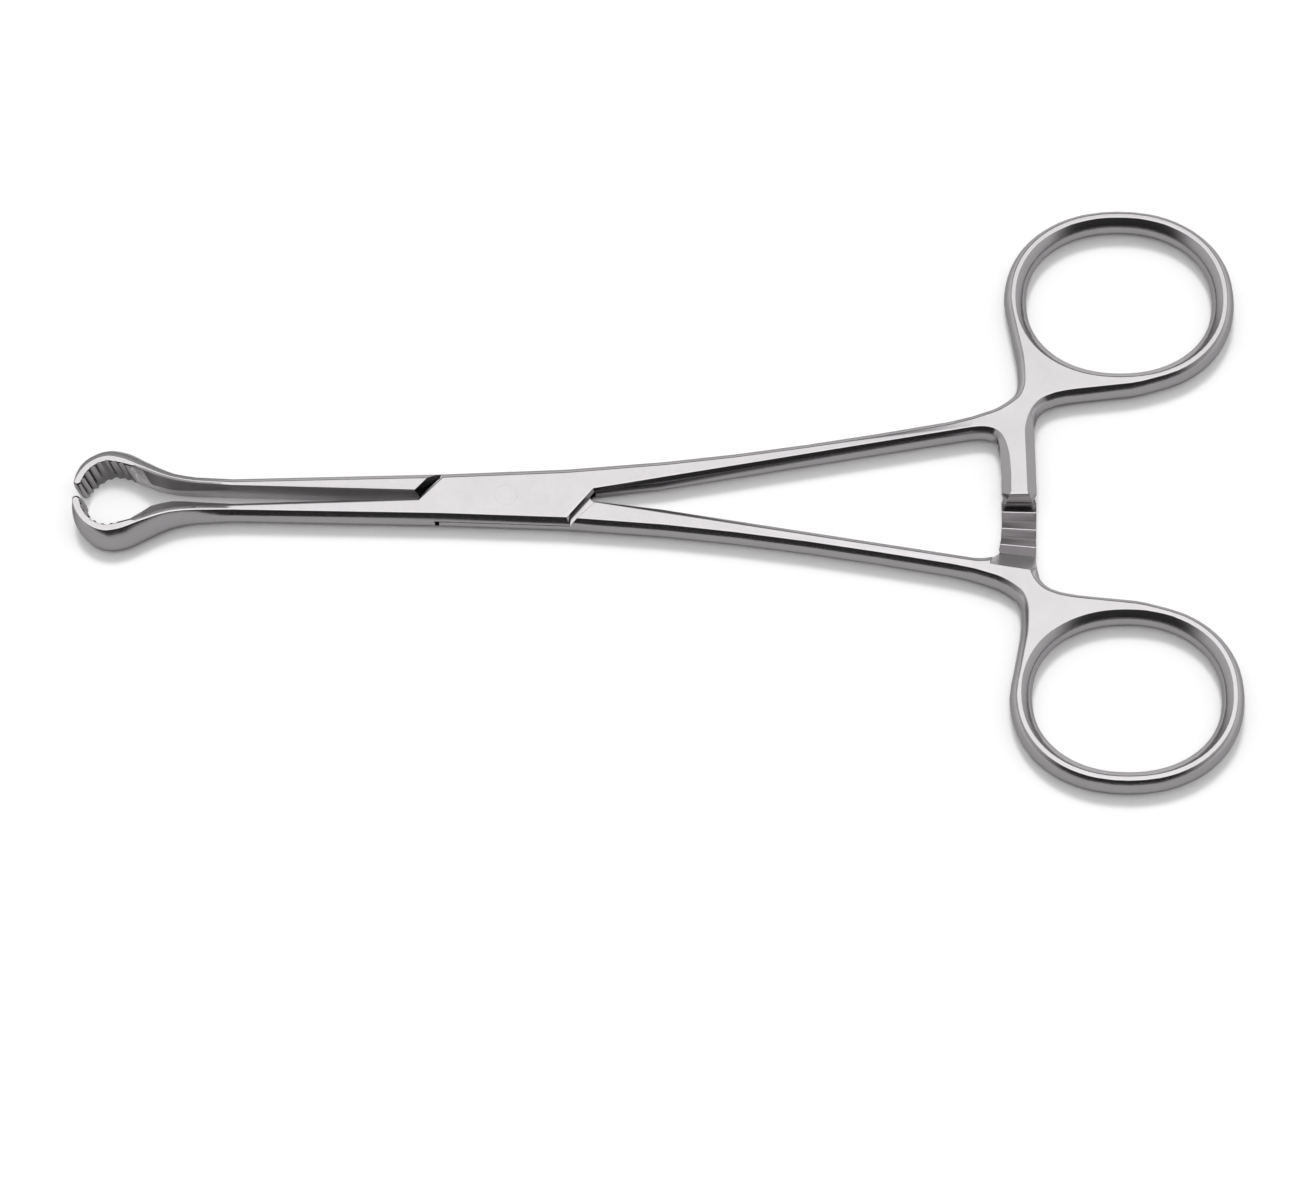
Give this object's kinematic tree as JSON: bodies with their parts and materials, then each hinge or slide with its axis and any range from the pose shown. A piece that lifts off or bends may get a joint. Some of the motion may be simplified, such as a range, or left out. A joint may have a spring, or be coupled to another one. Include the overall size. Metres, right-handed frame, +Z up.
{
  "type": "babcock forceps",
  "caption": "Ring-handled box-lock surgical forceps with fluted half-ring jaws, slender shanks and a stepped ratchet between the finger rings.",
  "frame": {"origin": "centre of the bounding box in X and Y, at the underside of the jaws in Z", "axes": "+X from the jaws to the finger rings, +Y towards the upper ring, the box half's, +Z up through the thickness"},
  "size_m": [0.1579, 0.087, 0.0054],
  "materials": {
    "satin_steel": "satin"
  },
  "bodies": {
    "box_body": {"box_half": "satin_steel", "lock_pin": "satin_steel"},
    "tongue_body": {"tongue_half": "satin_steel"}
  },
  "joints": [
    {"name": "box_lock", "type": "hinge", "parent": "box_body", "child": "tongue_body", "pos_m": [-0.02019, 0, 0.0027], "axis": [0, 0, -1], "range_deg": [-1.1, 50]}
  ]
}
